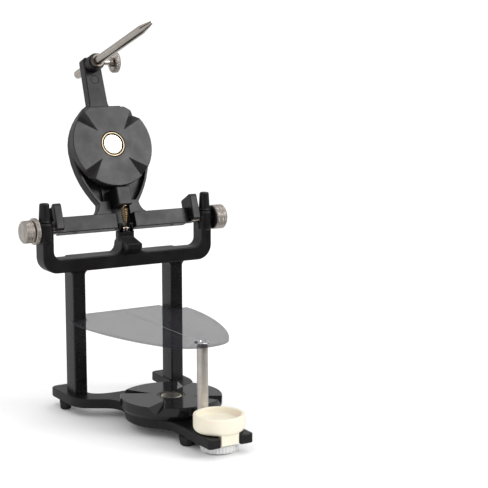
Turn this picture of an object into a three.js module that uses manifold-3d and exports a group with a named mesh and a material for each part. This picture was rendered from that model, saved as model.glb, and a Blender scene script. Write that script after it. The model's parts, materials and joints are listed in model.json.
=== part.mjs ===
// A magnetic-plate dental articulator, opened: base with a fork, two posts and a yoke that
// carries the condylar axis, and an upper member that turns about it with the incisal pin.
// Millimetres, +Z up, front towards -Y. The condylar axis runs along X at y = 0 while the
// pieces are drawn; the finished group is shifted along Y to centre its bounding box.
import * as THREE from 'three';
import { mergeVertices } from 'three/addons/utils/BufferGeometryUtils.js';
import Module from 'manifold-3d';

const wasm = await Module();
wasm.setup();

// ---------------------------------------------------------------- driving dimensions
const HINGE_Z = 115;               // condylar axis above the table
const LEAN = THREE.MathUtils.degToRad(20);   // upper member leans back behind the vertical
const CLEARANCE = 0.3;             // between pieces of the turned upper member
const RUNNING = 0.08;              // radial clearance of a turning fit

const BASE = { bottom: 5.7, top: 11.4, bevel: 0.5 };
const HUB = { y: -55.4, radius: 27.4 };
const FORK = { end: -125, outer: 14.3, inner: 6.1, slotCentre: -104.5, corner: 1 };
const PAD = { outer: 42.8, inner: 28.5, rear: 27 };
const FOOT = { height: 5.7, peg: 1.8, pegHeight: 3 };
const REAR_FOOT = { x: 39, y: 11, top: 3.8, bottom: 3.4 };
const FRONT_FOOT = { x: 10.3, y: -93.5, top: 5.2, bottom: 4.2 };

const LOWER_DISC = { radius: 30.4, foot: 28.6, top: 19 };
const UPPER_DISC = { radius: 26.95, thickness: 5.5, u: 51.6, w: -0.4, chord: 24.1 };
const GROOVE = { apex: 12.6, halfAngle: THREE.MathUtils.degToRad(9.13), depth: 4.4 };
const MAGNET = { radius: 6.3, ringInner: 7, ringOuter: 8, pocket: 8.3, depth: 3.2 };

const POST = { inner: 29.6, outer: 38, front: -1.5, back: 11.3, corner: 0.8 };
const YOKE = { bottom: 88.8, window: 97.2, front: -4, back: 7.4, inner: 50.8, outer: 57.9 };
const PEDESTAL = { half: 5.4, flare: 12.6, top: 104.8 };
const HEAD = { half: 5.4, front: 1.1, back: 6, top: 110.2 };
const EARS = { inner: 2, outer: 5.05, front: 1.1, back: 4.1, top: 115.3 };
const LEDGE = { half: 4.9, tip: -10.7, tipTop: 103.8, tipBottom: 101, top: 106.8, root: 96 };
const BOSS = { x: 55, radius: 5, bottom: 107, top: 119.6, spotFace: 59.2 };
const SHAFT = { radius: 2.5, inner: 44.8, outer: 66.3 };
const SPRING_PIN = { y: 2.6, z: 112, radius: 0.8 };

const BAR = { half: 43.9, bottom: -2, top: 7.6, front: -0.5, back: -10 };
const POCKET = { half: 6.5, back: -8 };
const BODY = { front: -6, back: -12.5, web: -10.8, rim: 1.6, recess: 16.4, top: 78 };
const ARM = { front: -10.8, back: -18, top: 112, half: 6.3 };
const BLOCK = { half: 4.7, bottom: 11.9, top: 23.4, front: 3 };
const CHEEK = { inner: 44.2, outer: 49.3, bottom: -1.5, top: 15.2, front: 5.7, back: -7.5 };
const PIN = { u: 106.7, radius: 2.75, back: -34.7, taper: 61.4, tip: 76.1, lean: 0.044 };
const PIN_HUB = { radius: 5.4, back: -10.5, front: -3.6, w: -6.3 };
const TABLE = { y: -111.4, radius: 14.64, bottom: 11.7, rim: 21.5, recess: 3.6 };
const KEY = { half: 5.75, front: -12.5, back: 5.2, bottom: 6 };
const OCCLUSAL = { y: -93, post: 3.25, peg: 2.4, plate: 57, top: 58.4 };

// ---------------------------------------------------------------- materials
const finish = (color, roughness, metalness, extra = {}) =>
  new THREE.MeshStandardMaterial({ color, roughness, metalness, ...extra });
const BLACK = finish(0x1d1b1e, 0.38, 0.6);
const NICKEL = finish(0xc9c0b6, 0.3, 1);
const CHROME = finish(0xe2e2e4, 0.12, 1);
const BRASS = finish(0xc4a572, 0.32, 1);
const MAGNET_FACE = finish(0xf0ebda, 0.2, 1);
const IVORY = finish(0xf0e8d4, 0.45, 0);
const CLEAR = finish(0xe9eef2, 0.2, 0, { transparent: true, opacity: 0.5 });
const SMOKED = finish(0x8e8c92, 0.12, 0, { transparent: true, opacity: 0.6 });
const RUBBER = finish(0x151515, 0.8, 0);

// ---------------------------------------------------------------- geometry helpers
/** Merges shared corners, drops collapsed triangles and turns the faces outward. */
function closed(source) {
  const bare = source.clone();
  bare.deleteAttribute('normal');
  bare.deleteAttribute('uv');
  const merged = mergeVertices(bare, 1e-4);
  const corner = merged.getAttribute('position');
  const triangles = [];
  let volume = 0;
  const [a, b, c] = [new THREE.Vector3(), new THREE.Vector3(), new THREE.Vector3()];
  for (let i = 0; i < merged.index.count; i += 3) {
    const [i0, i1, i2] = [0, 1, 2].map((k) => merged.index.getX(i + k));
    if (i0 === i1 || i1 === i2 || i2 === i0) continue;
    triangles.push([i0, i1, i2]);
    a.fromBufferAttribute(corner, i0);
    b.fromBufferAttribute(corner, i1);
    c.fromBufferAttribute(corner, i2);
    volume += a.dot(b.cross(c));
  }
  const outward = volume < 0 ? triangles.map(([p, q, r]) => [p, r, q]) : triangles;
  merged.setIndex(outward.flat());
  return merged;
}

/** A closed geometry as a manifold solid, for joining and cutting. */
function solid(geometry) {
  const shell = closed(geometry);
  return new wasm.Manifold(new wasm.Mesh({
    numProp: 3,
    vertProperties: new Float32Array(shell.getAttribute('position').array),
    triVerts: new Uint32Array(shell.index.array),
  }));
}

/** A manifold solid back as a geometry. */
function shellOf(body) {
  const mesh = body.getMesh();
  const shell = new THREE.BufferGeometry();
  shell.setAttribute('position', new THREE.BufferAttribute(new Float32Array(mesh.vertProperties), 3));
  shell.setIndex(new THREE.BufferAttribute(new Uint32Array(mesh.triVerts), 1));
  return shell;
}

/** Joins the first list of geometries and cuts the second list from the result. */
function carve(joined, cuts = []) {
  const whole = joined.map(solid).reduce((sum, next) => sum.add(next));
  return shellOf(cuts.map(solid).reduce((rest, cut) => rest.subtract(cut), whole));
}

/** A box between two opposite corners. */
function box(low, high) {
  const size = high.map((value, axis) => value - low[axis]);
  const middle = high.map((value, axis) => (value + low[axis]) / 2);
  return new THREE.BoxGeometry(...size).translate(...middle);
}

/** A round bar along Z from z0 to z1. */
function barZ(radius, z0, z1, sides = 24) {
  const bar = new THREE.CylinderGeometry(radius, radius, z1 - z0, sides);
  return bar.rotateX(Math.PI / 2).translate(0, 0, (z0 + z1) / 2);
}

/** A round bar along X from x0 to x1. */
function barX(radius, x0, x1, sides = 24) {
  return barZ(radius, x0, x1, sides).rotateY(Math.PI / 2);
}

/** A round bar along the upper member's face normal, from w0 to w1 (w runs along -Y). */
function barW(radius, w0, w1, sides = 24) {
  return barZ(radius, w0, w1, sides).rotateX(Math.PI / 2);
}

/** A turned piece about Z from [radius, height] pairs; closes itself when off the axis. */
function turned(profile, sides = 32) {
  const points = profile.map(([radius, height]) => new THREE.Vector2(radius, height));
  if (points[0].x > 0) points.push(points[0].clone());
  return new THREE.LatheGeometry(points, sides).rotateX(Math.PI / 2);
}

/** The whole outline whose right half (x >= 0) is the given path. */
function symmetric(half, divisions = 6) {
  const right = half.getPoints(divisions);
  const left = right.filter((p) => p.x > 1e-6).reverse().map((p) => new THREE.Vector2(-p.x, p.y));
  return new THREE.Shape([...right, ...left]);
}

/** An outline in XY, thick from z0 to z1, with its long edges bevelled. */
function slabZ(shape, z0, z1, bevel = 0) {
  const slab = new THREE.ExtrudeGeometry(shape, {
    depth: z1 - z0 - 2 * bevel, steps: 1, curveSegments: 6,
    bevelEnabled: bevel > 0, bevelThickness: bevel, bevelSize: bevel, bevelOffset: -bevel,
    bevelSegments: 1,
  });
  return slab.translate(0, 0, z0 + bevel);
}

/** An outline in XZ, thick from y0 to y1. */
function slabY(shape, y0, y1, bevel = 0) {
  return slabZ(shape, -y1, -y0, bevel).rotateX(Math.PI / 2);
}

/** An outline in YZ, thick from x0 to x1. */
function slabX(shape, x0, x1, bevel = 0) {
  return slabZ(shape, x0, x1, bevel).rotateX(Math.PI / 2).rotateZ(Math.PI / 2);
}

/** A closed polygon from [x, y] pairs. */
function polygon(pairs) {
  return new THREE.Shape(pairs.map(([x, y]) => new THREE.Vector2(x, y)));
}

/** A rectangle with rounded corners. */
function rounded(x0, y0, x1, y1, radius) {
  const shape = new THREE.Shape();
  shape.moveTo(x0 + radius, y0);
  shape.lineTo(x1 - radius, y0);
  shape.absarc(x1 - radius, y0 + radius, radius, -Math.PI / 2, 0);
  shape.lineTo(x1, y1 - radius);
  shape.absarc(x1 - radius, y1 - radius, radius, 0, Math.PI / 2);
  shape.lineTo(x0 + radius, y1);
  shape.absarc(x0 + radius, y1 - radius, radius, Math.PI / 2, Math.PI);
  shape.lineTo(x0, y0 + radius);
  shape.absarc(x0 + radius, y0 + radius, radius, Math.PI, Math.PI * 1.5);
  return shape;
}

const articulator = new THREE.Group();

/** Adds a named piece to a group. */
function piece(group, name, geometry, material) {
  const mesh = new THREE.Mesh(closed(geometry), material.clone());
  mesh.name = name;
  group.add(mesh);
  return mesh;
}

const SIDES = [['left', -1], ['right', 1]];

// ---------------------------------------------------------------- base
/** Right half of the base seen from above: fork arm, hub, neck and rear pad. */
function baseOutline() {
  const half = new THREE.Path();
  const hubFront = Math.atan2(-20.2, 18.5);
  const hubRear = Math.atan2(18.4, 20.3);
  half.moveTo(0, FORK.slotCentre + FORK.inner);
  half.absarc(0, FORK.slotCentre, FORK.inner, Math.PI / 2, 0, true);
  half.lineTo(FORK.inner, FORK.end + FORK.corner);
  half.lineTo(FORK.inner + FORK.corner, FORK.end);
  half.lineTo(FORK.outer - FORK.corner, FORK.end);
  half.lineTo(FORK.outer, FORK.end + FORK.corner);
  half.lineTo(FORK.outer, HUB.y - 33);
  half.quadraticCurveTo(FORK.outer, HUB.y - 25, 18.5, HUB.y - 20.2);
  half.absarc(0, HUB.y, HUB.radius, hubFront, hubRear);
  half.quadraticCurveTo(20.2, -23.5, 27, -20);
  half.lineTo(35.6, -14.8);
  half.quadraticCurveTo(41.6, -11, PAD.outer - 0.4, -2);
  half.lineTo(PAD.outer, PAD.rear - 6);
  half.quadraticCurveTo(PAD.outer, PAD.rear, PAD.outer - 6, PAD.rear);
  half.lineTo(PAD.inner + 5, PAD.rear);
  half.quadraticCurveTo(PAD.inner, PAD.rear, PAD.inner, PAD.rear - 5);
  half.lineTo(PAD.inner, 2.5);
  half.quadraticCurveTo(PAD.inner - 0.5, -6.6, 14, -7);
  half.lineTo(0, -7);
  return symmetric(half);
}

const POST_X = (POST.inner + POST.outer) / 2;
const POST_Y = (POST.front + POST.back) / 2;
const SCREW = { shank: 2, hole: 2.3, head: 3.6, headHole: 3.9, headTop: 8.4, reach: 20 };

function baseCasting() {
  const cuts = [
    barZ(OCCLUSAL.peg + RUNNING, 0, 20).translate(0, OCCLUSAL.y, 0),
    barZ(SCREW.hole, 0, 20).translate(0, HUB.y, 0),
    barZ(SCREW.headHole, 0, SCREW.headTop).translate(0, HUB.y, 0),
  ];
  for (const [, side] of SIDES) {
    cuts.push(barZ(SCREW.hole, 0, 20).translate(side * POST_X, POST_Y, 0));
    cuts.push(barZ(SCREW.headHole, 0, SCREW.headTop).translate(side * POST_X, POST_Y, 0));
    for (const foot of [REAR_FOOT, FRONT_FOOT]) {
      const hole = barZ(FOOT.peg + CLEARANCE, 0, BASE.bottom + FOOT.pegHeight + CLEARANCE, 12);
      cuts.push(hole.translate(side * foot.x, foot.y, 0));
    }
  }
  return carve([slabZ(baseOutline(), BASE.bottom, BASE.top, BASE.bevel)], cuts);
}

/** A rubber foot with a round skirt and a peg that plugs into the base. */
function foot({ top, bottom }) {
  return turned([
    [0, 0], [bottom - 0.8, 0], [bottom, 0.8], [top, FOOT.height - 0.02],
    [FOOT.peg, FOOT.height - 0.02], [FOOT.peg, FOOT.height + FOOT.pegHeight],
    [0, FOOT.height + FOOT.pegHeight],
  ], 20);
}

/** A socket screw that points up from its head. */
function screwUp(headBottom, tip) {
  const socket = 1.6;
  return turned([
    [0, headBottom + 1.4], [socket, headBottom + 1.4], [socket, headBottom], [SCREW.head, headBottom],
    [SCREW.head, SCREW.headTop - CLEARANCE], [SCREW.shank, SCREW.headTop - CLEARANCE],
    [SCREW.shank, tip - 0.6], [SCREW.shank - 0.6, tip], [0, tip],
  ], 18);
}

function addBase() {
  piece(articulator, 'base_casting', baseCasting(), BLACK);
  const feet = [['rear', REAR_FOOT], ['front', FRONT_FOOT]];
  for (const [side, sign] of SIDES) {
    for (const [end, place] of feet) {
      const rubber = piece(articulator, `${end}_${side}_foot`, foot(place), RUBBER);
      rubber.position.set(sign * place.x, place.y, 0);
    }
    const post = piece(articulator, `${side}_post`, postBar(), BLACK);
    post.position.set(sign * POST_X, POST_Y, 0);
    const screw = piece(articulator, `${side}_post_screw`, screwUp(BASE.bottom + 0.4, SCREW.reach), NICKEL);
    screw.position.set(sign * POST_X, POST_Y, 0);
  }
}

/** A square-edged upright standing on a rear pad, drilled for its screw. */
function postBar() {
  const halfX = (POST.outer - POST.inner) / 2;
  const halfY = (POST.back - POST.front) / 2;
  const section = rounded(-halfX, -halfY, halfX, halfY, POST.corner);
  const bar = slabZ(section, BASE.top, YOKE.bottom);
  return carve([bar], [barZ(SCREW.hole, 0, SCREW.reach + 2)]);
}

// ---------------------------------------------------------------- mounting discs
/** Cutter for one V groove: a four-sided point that starts on the face at the apex radius. */
function grooveCutter(radius, face, angle) {
  const reach = 6;
  const length = radius + reach - GROOVE.apex;
  const grow = length / (radius - GROOVE.apex);
  const halfWidth = radius * Math.sin(GROOVE.halfAngle) * grow;
  const wedge = new THREE.ConeGeometry(1, length, 4, 1);
  wedge.rotateX(Math.PI).translate(0, length / 2, 0);
  wedge.scale(halfWidth, 1, GROOVE.depth * grow);
  return wedge.translate(0, GROOVE.apex, 0).rotateZ(angle).translate(0, 0, face);
}

/** A round plate with four V grooves and a magnet pocket in its upper face. */
function mountingDisc(radius, footRadius, bottom, face) {
  const body = turned([
    [0, bottom], [footRadius, bottom], [radius, face - 5], [radius, face - 0.4],
    [radius - 0.4, face], [0, face],
  ], 60);
  const cuts = [0, 1, 2, 3].map((i) => grooveCutter(radius, face, Math.PI * (0.25 + i / 2)));
  cuts.push(barZ(MAGNET.pocket, face - MAGNET.depth, face + 1, 32));
  return { body, cuts };
}

function magnetRing(face) {
  return turned([
    [MAGNET.ringInner, face - 2.6], [MAGNET.ringOuter, face - 2.6], [MAGNET.ringOuter, face - 0.35],
    [MAGNET.ringOuter - 0.3, face - 0.05], [MAGNET.ringInner, face - 0.05],
  ], 32);
}

function magnetDisc(face) {
  const bottom = face - 2.6;
  const top = face - 0.1;
  return turned([[0, bottom], [MAGNET.radius, bottom], [MAGNET.radius, top - 0.4],
    [MAGNET.radius - 0.4, top], [0, top]], 32);
}

function addLowerDisc() {
  const { body, cuts } = mountingDisc(LOWER_DISC.radius, LOWER_DISC.foot, BASE.top, LOWER_DISC.top);
  cuts.push(barZ(SCREW.hole, 0, LOWER_DISC.top - MAGNET.depth - 1));
  const group = new THREE.Group();
  group.position.y = HUB.y;
  articulator.add(group);
  piece(group, 'lower_mounting_disc', carve([body], cuts), BLACK);
  piece(group, 'lower_magnet_ring', magnetRing(LOWER_DISC.top), BRASS);
  piece(group, 'lower_magnet', magnetDisc(LOWER_DISC.top), MAGNET_FACE);
  piece(group, 'lower_disc_screw', screwUp(BASE.bottom + 0.4, LOWER_DISC.top - MAGNET.depth - 2), NICKEL);
}

// ---------------------------------------------------------------- yoke
/** Right half of the yoke seen from the front: beam, rounded corner, leg and pedestal. */
function yokeOutline() {
  const half = new THREE.Path();
  const outerRadius = 9.5;
  const innerRadius = 5;
  const legTop = BOSS.top - 3;
  half.moveTo(0, YOKE.bottom);
  half.absarc(YOKE.outer - outerRadius, YOKE.bottom + outerRadius, outerRadius, -Math.PI / 2, 0);
  half.lineTo(YOKE.outer, legTop);
  half.lineTo(YOKE.inner, legTop);
  half.absarc(YOKE.inner - innerRadius, YOKE.window + innerRadius, innerRadius, 0, -Math.PI / 2, true);
  half.lineTo(PEDESTAL.flare, YOKE.window);
  half.quadraticCurveTo(PEDESTAL.half + 0.6, YOKE.window, PEDESTAL.half + 0.4, YOKE.window + 6);
  half.lineTo(PEDESTAL.half, PEDESTAL.top);
  half.lineTo(0, PEDESTAL.top);
  return symmetric(half);
}

/** The quarter-round corners between the beam and both sides of each post. */
function postFillets() {
  const radius = 3;
  const edges = SIDES.flatMap(([, side]) => [[side * POST.inner, -side], [side * POST.outer, side]]);
  return edges.map(([x, away]) => {
    const arc = new THREE.Shape();
    arc.moveTo(x, YOKE.bottom + 0.5);
    arc.lineTo(x + away * radius, YOKE.bottom + 0.5);
    arc.lineTo(x + away * radius, YOKE.bottom);
    for (let i = 1; i <= 5; i += 1) {
      const turn = (i / 5) * (Math.PI / 2);
      arc.lineTo(x + away * radius * (1 - Math.sin(turn)), YOKE.bottom - radius * (1 - Math.cos(turn)));
    }
    return slabY(arc, POST.front + 0.4, POST.back - 0.4);
  });
}

function yokeCasting() {
  const beamBack = slabY(rounded(-POST.outer, YOKE.bottom, POST.outer, YOKE.window, 1.5),
    YOKE.back - 1, POST.back, 0.5);
  const ledge = slabX(polygon([
    [EARS.back, LEDGE.top], [EARS.front, LEDGE.top], [LEDGE.tip, LEDGE.tipTop],
    [LEDGE.tip, LEDGE.tipBottom], [YOKE.front, LEDGE.root], [EARS.back, LEDGE.root],
  ]), -LEDGE.half, LEDGE.half, 0.3);
  const head = slabZ(rounded(-HEAD.half, HEAD.front, HEAD.half, HEAD.back, 0.7),
    PEDESTAL.top - 2, HEAD.top, 0.3);
  const beam = slabY(yokeOutline(), YOKE.front, YOKE.back, 0.5);
  const joined = [beam, beamBack, ledge, head, ...postFillets()];
  const cuts = [barX(SPRING_PIN.radius + 0.1, -20, 20, 12).translate(0, SPRING_PIN.y, SPRING_PIN.z)];
  for (const [, side] of SIDES) {
    const boss = turned([
      [0, BOSS.bottom], [BOSS.radius - 1, BOSS.bottom], [BOSS.radius, BOSS.bottom + 1.5],
      [BOSS.radius, BOSS.top - 1], [BOSS.radius - 0.8, BOSS.top], [0, BOSS.top],
    ], 28);
    joined.push(boss.translate(side * BOSS.x, 0, 0));
    const ear = [side * EARS.inner, side * EARS.outer].sort((p, q) => p - q);
    const section = rounded(ear[0], EARS.front, ear[1], EARS.back, 0.7);
    joined.push(slabZ(section, HEAD.top - 1, EARS.top, 0.3));
    const spot = [side * BOSS.spotFace, side * 70].sort((p, q) => p - q);
    cuts.push(box([spot[0], -10, HINGE_Z - 9], [spot[1], 10, BOSS.top + 1]));
    const bore = [side * 40, side * 70].sort((p, q) => p - q);
    cuts.push(barX(SHAFT.radius + RUNNING, ...bore).translate(0, 0, HINGE_Z));
    cuts.push(barZ(LOCK_PIN.peg + CLEARANCE, HINGE_Z, BOSS.top + 5, 14).translate(side * BOSS.x, 0, 0));
  }
  return carve(joined, cuts);
}

const LOCK_PIN = { peg: 1.4, pegBottom: 118, base: 3.6, top: 3, seat: 119.9, height: 131.5 };

/** The tapered pin that stands on a boss and locks the condyle. */
function lockPin() {
  return turned([
    [0, LOCK_PIN.pegBottom], [LOCK_PIN.peg, LOCK_PIN.pegBottom], [LOCK_PIN.peg, LOCK_PIN.seat],
    [LOCK_PIN.base + 0.5, LOCK_PIN.seat], [LOCK_PIN.base + 0.5, LOCK_PIN.seat + 0.7],
    [LOCK_PIN.base, LOCK_PIN.seat + 1], [LOCK_PIN.top, LOCK_PIN.height - 0.7],
    [LOCK_PIN.top - 0.7, LOCK_PIN.height], [0, LOCK_PIN.height],
  ], 24);
}

/** A turned piece on the condylar axis, its heights measured outward along X. */
function onAxis(profile, side, sides = 28) {
  return turned(profile, sides).rotateY(side * Math.PI / 2).translate(0, 0, HINGE_Z);
}

/** A round ring on the condylar axis. */
function axisRing(inner, outer, from, to, side, chamfer = 0.4) {
  return onAxis([
    [inner, from], [outer - chamfer, from], [outer, from + chamfer], [outer, to - chamfer],
    [outer - chamfer, to], [inner, to],
  ], side);
}

/** A cap knob with a blind bore for the shaft's end. */
function capKnob(radius, from, to, dome, side) {
  const bore = SHAFT.radius + RUNNING;
  return onAxis([
    [0, SHAFT.outer + CLEARANCE], [bore, SHAFT.outer + CLEARANCE], [bore, from],
    [radius - 0.5, from], [radius, from + 0.5], [radius, to - dome * 0.9],
    [radius - dome, to], [0, to],
  ], side);
}

function addYoke() {
  piece(articulator, 'yoke_casting', yokeCasting(), BLACK);
  const pin = barX(SPRING_PIN.radius, -EARS.outer, EARS.outer, 12);
  pin.translate(0, SPRING_PIN.y, SPRING_PIN.z);
  piece(articulator, 'spring_anchor_pin', pin, NICKEL);
  for (const [side, sign] of SIDES) {
    const shaft = onAxis([
      [0, SHAFT.inner], [SHAFT.radius - 0.5, SHAFT.inner], [SHAFT.radius, SHAFT.inner + 0.5],
      [SHAFT.radius, SHAFT.outer - 0.5], [SHAFT.radius - 0.5, SHAFT.outer], [0, SHAFT.outer],
    ], sign, 24);
    piece(articulator, `${side}_condyle_shaft`, shaft, NICKEL);
    const locking = piece(articulator, `${side}_lock_pin`, lockPin(), BLACK);
    locking.position.x = sign * BOSS.x;
  }
  const bore = SHAFT.radius + RUNNING;
  piece(articulator, 'right_flange', axisRing(bore, 7.6, 59.45, 60.3, 1, 0.3), BLACK);
  piece(articulator, 'right_condyle_knob', capKnob(7.9, 60.5, 68.4, 1.5, 1), NICKEL);
  piece(articulator, 'left_lock_ring', axisRing(bore, 8.1, 60.3, 63, -1, 0.5), NICKEL);
  piece(articulator, 'left_condyle_knob', capKnob(6.9, 63.3, 69.7, 1.2, -1), NICKEL);
}

// ---------------------------------------------------------------- upper member
// Drawn upright about the condylar axis: u along the arm is Z, and w, the way the disc
// faces, is -Y. The whole group then leans back.
const upper = new THREE.Group();
upper.position.z = HINGE_Z;
upper.rotation.x = -LEAN;
articulator.add(upper);

/** A box given by its x, u and w ranges. */
const boxUW = (x, u, w) => box([x[0], -w[1], u[0]], [x[1], -w[0], u[1]]);
/** An outline in x and u, thick from w0 to w1. */
const slabW = (shape, w0, w1, bevel = 0) => slabY(shape, -w1, -w0, bevel);

/** Right half of the pear-shaped body, inset by the rim's width for its recess. */
function pearOutline(inset = 0) {
  const half = new THREE.Path();
  const bottom = inset > 0 ? BODY.recess : BAR.bottom + 3;
  half.moveTo(0, bottom);
  if (inset > 0) {
    half.lineTo(13.6 - inset, bottom);
  } else {
    half.lineTo(22, bottom);
    half.lineTo(22, BAR.top);
    half.quadraticCurveTo(14.6, BAR.top + 0.6, 13.8, 15.3);
  }
  half.bezierCurveTo(19 - inset, 22.5, 26.2 - inset, 34, 26.2 - inset, 50);
  if (inset > 0) {
    half.lineTo(0, 50);
    return symmetric(half);
  }
  half.bezierCurveTo(26.2, 60, 21, 69.5, 14, 76);
  half.lineTo(12, BODY.top);
  half.lineTo(0, BODY.top);
  return symmetric(half);
}

/** The tapered arm with its rounded head. */
function armOutline() {
  const half = new THREE.Path();
  half.moveTo(0, 60);
  half.lineTo(13, 60);
  half.lineTo(12, 75.5);
  half.quadraticCurveTo(ARM.half + 0.5, 76.5, ARM.half, 82);
  half.lineTo(ARM.half - 0.5, ARM.top - 2.5);
  half.quadraticCurveTo(ARM.half - 0.5, ARM.top, ARM.half - 3, ARM.top);
  half.lineTo(0, ARM.top);
  return symmetric(half);
}

const GRUB = { x: 33.5, w: -5.2, radius: 1.2 };
const PLUG = { u: 97.3, radius: 2.7 };
const EYE_SCREW = { w: 0.4, radius: 1.1, head: 1.5 };

/** Pin axis: tilted so that the pin's tip leans towards the hinge. */
const PIN_TILT = Math.atan(PIN.lean);
function alongPin(geometry) {
  return geometry.rotateX(PIN_TILT).translate(0, 0, PIN.u);
}

function upperFrame() {
  const ribs = SIDES.map(([, side]) => {
    const x = [side * 8, side * 9.3].sort((p, q) => p - q);
    return boxUW(x, [BAR.top - 1, 27], [BODY.web - 1, BODY.web + 2]);
  });
  const joined = [
    slabW(polygon([[-BAR.half, BAR.bottom], [BAR.half, BAR.bottom], [BAR.half, BAR.top],
      [-BAR.half, BAR.top]]), BAR.back, BAR.front, 0.4),
    slabW(pearOutline(), BODY.back, BODY.front, 0.4),
    slabW(armOutline(), ARM.back, ARM.front, 0.5),
  ];
  const recess = slabW(pearOutline(BODY.rim), BODY.web, 5);
  const pocket = boxUW([-POCKET.half, POCKET.half], [BAR.bottom - 5, BLOCK.bottom + 1], [POCKET.back, 5]);
  const seat = boxUW([-POCKET.half, POCKET.half], [BLOCK.bottom, BODY.recess + 1], [BODY.web, 5]);
  const cuts = [
    recess, pocket, seat,
    barW(SCREW.hole, BODY.back - 5, 5).translate(0, 0, UPPER_DISC.u),
    alongPin(barW(PIN.radius + 0.35, -40, 20)),
    barW(PLUG.radius + 0.15, ARM.front - 1.5, 5, 20).translate(0, 0, PLUG.u),
  ];
  for (const [, side] of SIDES) {
    const hole = barZ(GRUB.radius + 0.2, BAR.bottom - 5, BAR.bottom + 5, 12);
    cuts.push(hole.translate(side * GRUB.x, -GRUB.w, 0));
    const x = [side * (BAR.half - 5), side * 60].sort((p, q) => p - q);
    cuts.push(barX(1.5, ...x, 12).translate(0, CHEEK_SCREW.y, CHEEK_SCREW.z));
  }
  const trimmed = carve(joined, cuts);
  return carve([trimmed, ...ribs]);
}

const CHEEK_SCREW = { y: 5, z: 2.8 };

/** The plate at each end of the cross bar that rides on the condyle shaft. */
function cheek(sign) {
  const outline = new THREE.Shape();
  outline.moveTo(-CHEEK.front, CHEEK.bottom + 1);
  outline.lineTo(-CHEEK.front + 1, CHEEK.bottom);
  outline.lineTo(-CHEEK.back, CHEEK.bottom);
  outline.lineTo(-CHEEK.back, CHEEK.top - 3);
  outline.quadraticCurveTo(-CHEEK.back, CHEEK.top - 1.6, -CHEEK.back - 1.5, CHEEK.top - 1.4);
  outline.lineTo(-CHEEK.front + 2, CHEEK.top);
  outline.quadraticCurveTo(-CHEEK.front, CHEEK.top, -CHEEK.front, CHEEK.top - 2);
  const x = [sign * CHEEK.inner, sign * CHEEK.outer].sort((p, q) => p - q);
  const slot = [sign * (CHEEK.outer - 1.4), sign * (CHEEK.outer + 5)].sort((p, q) => p - q);
  return carve([slabX(outline, ...x, 0.4)], [
    barX(SHAFT.radius + RUNNING, x[0] - 5, x[1] + 5),
    box([slot[0], -2.6, 5], [slot[1], 3.4, CHEEK.top + 5]),
    barX(1.5, x[0] - 1, x[1] + 1, 12).translate(0, CHEEK_SCREW.y, CHEEK_SCREW.z),
    barX(2.6, ...slot, 16).translate(0, CHEEK_SCREW.y, CHEEK_SCREW.z),
  ]);
}

function cheekScrew(sign) {
  const shank = onAxis([
    [0, BAR.half - 4], [1.2, BAR.half - 4], [1.2, CHEEK.outer - 1.2], [2.3, CHEEK.outer - 1.2],
    [2.3, CHEEK.outer - 0.2], [0, CHEEK.outer - 0.2],
  ], sign, 14);
  return shank.translate(0, CHEEK_SCREW.y, CHEEK_SCREW.z - HINGE_Z);
}

/** The block under the disc that holds the retaining spring's eye screw. */
function springBlock() {
  const x = BLOCK.half;
  const face = slabW(polygon([[-x, BLOCK.bottom], [x, BLOCK.bottom], [x, BLOCK.top], [-x, BLOCK.top]]),
    BODY.web + CLEARANCE, BLOCK.front, 0.5);
  const bore = barZ(EYE_SCREW.radius + CLEARANCE, 0, BLOCK.bottom + 7, 14);
  return carve([face], [bore.translate(0, -EYE_SCREW.w, 0)]);
}

/** The brass screw whose eye takes the spring's upper hook. */
function eyeScrew() {
  const eye = BLOCK.bottom - CLEARANCE;
  return turned([
    [0, eye - 0.4], [EYE_SCREW.head, eye - 0.4], [EYE_SCREW.head, eye],
    [EYE_SCREW.radius, eye], [EYE_SCREW.radius, eye + 6], [0, eye + 6],
  ], 14).translate(0, -EYE_SCREW.w, 0);
}

function upperDisc() {
  const back = -UPPER_DISC.thickness;
  const { body, cuts } = mountingDisc(UPPER_DISC.radius, UPPER_DISC.radius - 1, back, 0);
  cuts.push(box([-40, UPPER_DISC.chord, -20], [40, 60, 20]));
  cuts.push(barZ(SCREW.hole, back - 1, -MAGNET.depth - 1));
  return carve([body], cuts);
}

function addUpperMember() {
  piece(upper, 'upper_frame', upperFrame(), BLACK);
  piece(upper, 'spring_block', springBlock(), BLACK);
  piece(upper, 'spring_eye_screw', eyeScrew(), BRASS);
  piece(upper, 'arm_plug', barW(PLUG.radius, ARM.front - 1.2, ARM.front - 0.1, 20).translate(0, 0, PLUG.u), BLACK);
  for (const [side, sign] of SIDES) {
    piece(upper, `${side}_condyle_cheek`, cheek(sign), BLACK);
    piece(upper, `${side}_cheek_screw`, cheekScrew(sign), NICKEL);
    const grub = barZ(GRUB.radius, BAR.bottom + 0.8, BAR.bottom + 4.6, 12);
    piece(upper, `${side}_bar_grub_screw`, grub.translate(sign * GRUB.x, -GRUB.w, 0), NICKEL);
  }
  // The disc is turned flat about Z, then stood up so that its face looks along w.
  const face = new THREE.Group();
  face.position.set(0, -UPPER_DISC.w, UPPER_DISC.u);
  face.rotation.x = Math.PI / 2;
  upper.add(face);
  piece(face, 'upper_mounting_disc', upperDisc(), BLACK);
  piece(face, 'upper_magnet_ring', magnetRing(0), BRASS);
  piece(face, 'upper_magnet', magnetDisc(0), MAGNET_FACE);
  const headFrom = BODY.back - UPPER_DISC.w - 2.2;
  const screw = turned([
    [0, headFrom], [SCREW.head, headFrom], [SCREW.head, headFrom + 1.9],
    [SCREW.shank, headFrom + 1.9], [SCREW.shank, -MAGNET.depth - 1.5], [0, -MAGNET.depth - 1.5],
  ], 18);
  piece(face, 'upper_disc_screw', screw, NICKEL);
}

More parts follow.
